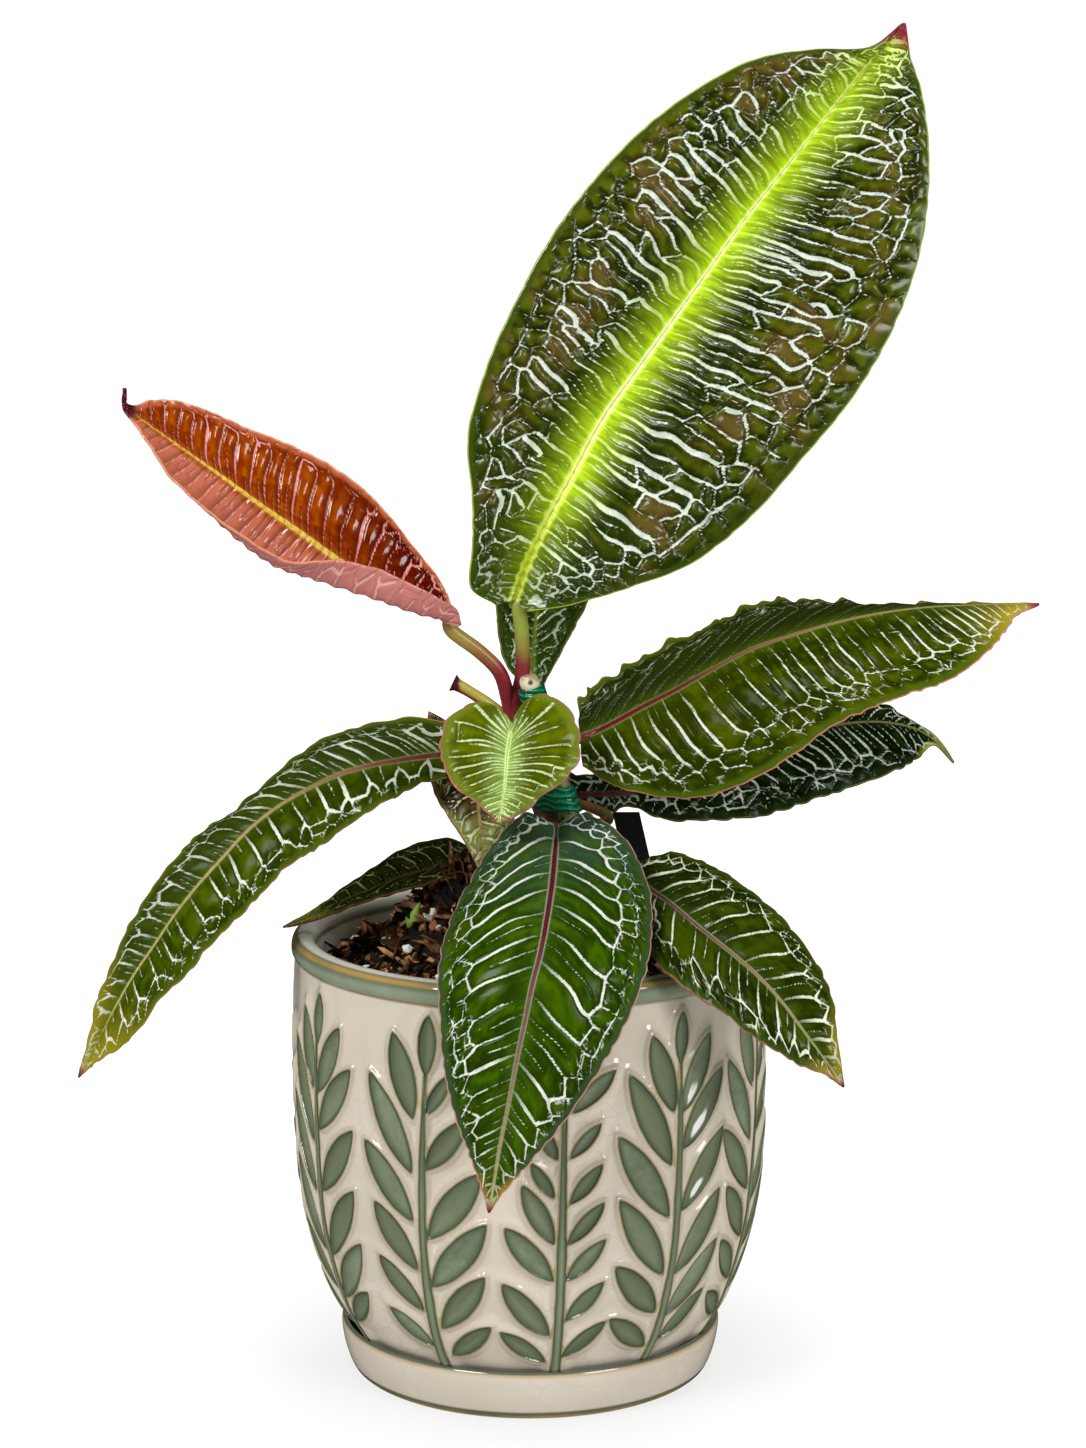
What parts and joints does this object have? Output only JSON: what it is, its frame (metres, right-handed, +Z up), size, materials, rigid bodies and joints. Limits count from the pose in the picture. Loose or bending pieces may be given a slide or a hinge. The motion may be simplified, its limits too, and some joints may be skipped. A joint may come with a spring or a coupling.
{
  "type": "potted plant",
  "caption": "Potted labisia: upright and arching leaves with pale net veins on a caned stem, in a glazed pot with raised leafy sprigs, on its saucer.",
  "frame": {"origin": "middle of the saucer's flat underside", "axes": "+Z up, out of the pot towards the leaves; -Y is the front that faces the viewer; +X is the viewer's right, towards which the big leaf leans"},
  "size_m": [0.2947, 0.1764, 0.4225],
  "materials": {
    "glazed_stoneware": "glossy glaze, cream with sage green relief",
    "potting_mix": "rough",
    "stem": "satin",
    "cane": "matte",
    "plant_tie": "satin",
    "label_plastic": "satin",
    "leaf_green": "glossy leaf with pale veins",
    "leaf_dark": "glossy leaf with pale veins",
    "leaf_pale": "satin leaf with pale veins",
    "leaf_red": "glossy young leaf",
    "leaf_old": "satin, browned"
  },
  "bodies": {
    "root": {"saucer": "glazed_stoneware", "pot": "glazed_stoneware", "potting_mix": "potting_mix", "stem": "stem", "cane": "cane", "tie_upper": "plant_tie", "tie_lower": "plant_tie", "plant_label": "label_plastic", "leaf_upright": "leaf_green", "leaf_young_red": "leaf_red", "leaf_back": "leaf_green", "leaf_right": "leaf_green", "leaf_right_low": "leaf_dark", "leaf_heart": "leaf_pale", "leaf_front": "leaf_dark", "leaf_front_right": "leaf_green", "leaf_left": "leaf_green", "leaf_left_low": "leaf_green", "leaf_old": "leaf_old"}
  },
  "joints": []
}
